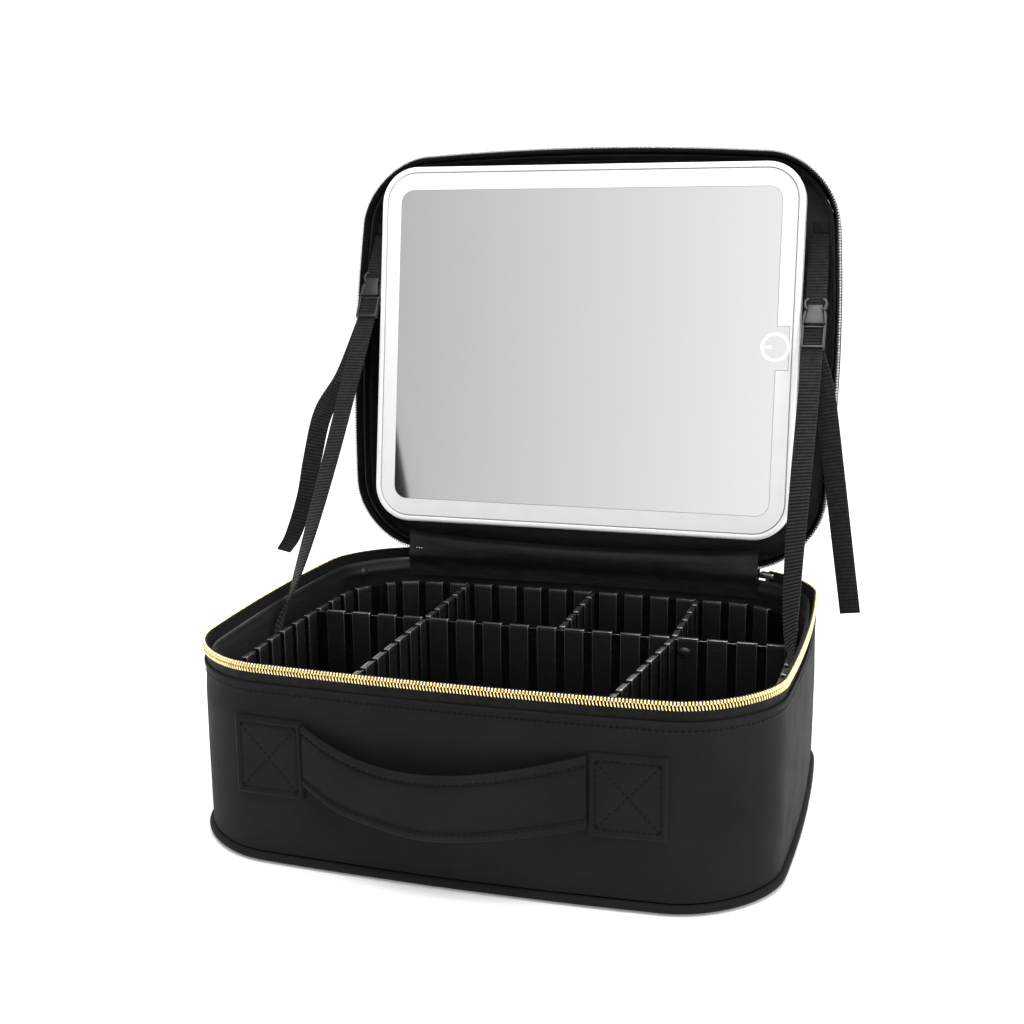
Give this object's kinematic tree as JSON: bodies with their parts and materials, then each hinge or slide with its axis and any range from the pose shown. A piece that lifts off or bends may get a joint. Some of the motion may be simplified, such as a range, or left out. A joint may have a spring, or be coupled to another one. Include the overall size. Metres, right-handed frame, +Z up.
{
  "type": "makeup train case",
  "caption": "Soft-sided zip-around vanity case, open, with a lit mirror in the lid, strap stays, and a tray of ribbed removable dividers",
  "frame": {"origin": "on the floor, under the middle of the base", "axes": "+Z up, +X to the right of someone facing the open case, front towards -Y"},
  "size_m": [0.3185, 0.2885, 0.3133],
  "materials": {
    "outer_leather": "matt black synthetic leather with a fine grain",
    "satin_lining": "black satin, softly shiny",
    "zip_tape": "black woven tape",
    "gold_teeth": "bright gold coil and teeth",
    "silver_teeth": "bright silver teeth",
    "slider_metal": "polished, pale gold",
    "insert_plastic": "glossy black thermoformed sheet",
    "webbing": "black ribbed nylon webbing",
    "buckle_plastic": "black moulded, satin",
    "white_bezel": "glossy white",
    "light_frame": "frosted white diffuser, shown lit softly",
    "mirror_glass": "flat silvered glass",
    "touch_print": "white printed ring"
  },
  "bodies": {
    "base": {"base_bottom_panel": "outer_leather", "base_piping": "outer_leather", "base_wall": "outer_leather", "base_lining": "satin_lining", "base_zip_tape": "zip_tape", "base_zip_teeth": "gold_teeth", "zip_slider_left": "slider_metal", "zip_slider_right": "slider_metal", "hinge_spine": "outer_leather", "hinge_flap": "satin_lining", "insert_floor": "insert_plastic", "insert_front_wall": "insert_plastic", "insert_back_wall": "insert_plastic", "insert_left_wall": "insert_plastic", "insert_right_wall": "insert_plastic", "handle_tab_left": "outer_leather", "handle_tab_right": "outer_leather", "strap_seam_left": "webbing", "strap_seam_right": "webbing", "strap_lower_left": "webbing", "strap_lower_right": "webbing"},
    "lid": {"lid_wall": "outer_leather", "lid_top_panel": "outer_leather", "lid_piping": "outer_leather", "lid_lining": "satin_lining", "lid_lining_panel": "satin_lining", "lid_zip_tape": "zip_tape", "lid_zip_teeth": "silver_teeth", "mirror_mount_pad": "satin_lining", "strap_lid_tab_left": "webbing", "strap_lid_tab_right": "webbing"},
    "mirror": {"mirror_shell": "white_bezel", "mirror_light_frame": "light_frame", "mirror_glass": "mirror_glass", "touch_ring": "touch_print"},
    "handle": {"handle_band": "outer_leather"},
    "strap_left": {"strap_upper_left": "webbing", "buckle_socket_left": "buckle_plastic"},
    "strap_right": {"strap_upper_right": "webbing", "buckle_socket_right": "buckle_plastic"},
    "plug_left": {"buckle_plug_left": "buckle_plastic", "strap_tail_left": "webbing"},
    "plug_right": {"buckle_plug_right": "buckle_plastic", "strap_tail_right": "webbing"},
    "pull_left": {"zip_pull_left": "slider_metal"},
    "pull_right": {"zip_pull_right": "slider_metal"},
    "divider_long": {"divider_long": "insert_plastic"},
    "divider_front_left": {"divider_front_left": "insert_plastic"},
    "divider_front_right": {"divider_front_right": "insert_plastic"},
    "divider_back_left": {"divider_back_left": "insert_plastic"},
    "divider_back_middle": {"divider_back_middle": "insert_plastic"},
    "divider_back_right": {"divider_back_right": "insert_plastic"}
  },
  "joints": [
    {"name": "lid_hinge", "type": "hinge", "parent": "base", "child": "lid", "pos_m": [0, 0.1067, 0.0947], "axis": [-1, 0, 0], "range_deg": [-98.2, 0], "deforming": ["hinge_spine", "hinge_flap", "strap_lower_left", "strap_lower_right", "strap_tail_left", "strap_tail_right"]},
    {"name": "strap_left_swing", "type": "hinge", "parent": "lid", "child": "strap_left", "pos_m": [-0.122, 0.137, 0.2675], "axis": [1, 0, 0], "range_deg": [0, 11]},
    {"name": "strap_right_swing", "type": "hinge", "parent": "lid", "child": "strap_right", "pos_m": [0.122, 0.137, 0.2675], "axis": [1, 0, 0], "range_deg": [0, 11]},
    {"name": "buckle_left_release", "type": "slide", "parent": "strap_left", "child": "plug_left", "axis": [0, -0.5349, -0.8449], "range_m": [0, 0.014]},
    {"name": "buckle_right_release", "type": "slide", "parent": "strap_right", "child": "plug_right", "axis": [0, -0.5349, -0.8449], "range_m": [0, 0.014]},
    {"name": "mirror_lift_off", "type": "slide", "parent": "lid", "child": "mirror", "axis": [0, -0.9898, 0.1426], "range_m": [0, 0.05]},
    {"name": "handle_pull", "type": "slide", "parent": "base", "child": "handle", "axis": [0, -0.7431, 0.6691], "range_m": [0, 0.0135]},
    {"name": "zip_pull_left_swing", "type": "hinge", "parent": "base", "child": "pull_left", "pos_m": [-0.09474, 0.1106, 0.0868], "axis": [0.9903, 0.1392, 0], "range_deg": [0, 70]},
    {"name": "zip_pull_right_swing", "type": "hinge", "parent": "base", "child": "pull_right", "pos_m": [0.10456, 0.10718, 0.0868], "axis": [0.9272, -0.3746, 0], "range_deg": [0, 70]},
    {"name": "divider_long_lift", "type": "slide", "parent": "base", "child": "divider_long", "axis": [0, 0, 1], "range_m": [0, 0.06]},
    {"name": "divider_front_left_lift", "type": "slide", "parent": "base", "child": "divider_front_left", "axis": [0, 0, 1], "range_m": [0, 0.06]},
    {"name": "divider_front_right_lift", "type": "slide", "parent": "base", "child": "divider_front_right", "axis": [0, 0, 1], "range_m": [0, 0.06]},
    {"name": "divider_back_left_lift", "type": "slide", "parent": "base", "child": "divider_back_left", "axis": [0, 0, 1], "range_m": [0, 0.033]},
    {"name": "divider_back_middle_lift", "type": "slide", "parent": "base", "child": "divider_back_middle", "axis": [0, 0, 1], "range_m": [0, 0.033]},
    {"name": "divider_back_right_lift", "type": "slide", "parent": "base", "child": "divider_back_right", "axis": [0, 0, 1], "range_m": [0, 0.033]}
  ],
  "couplings": [
    {"joint": "strap_left_swing", "follows": "lid_hinge", "ratio": -0.112},
    {"joint": "strap_right_swing", "follows": "lid_hinge", "ratio": -0.112}
  ]
}
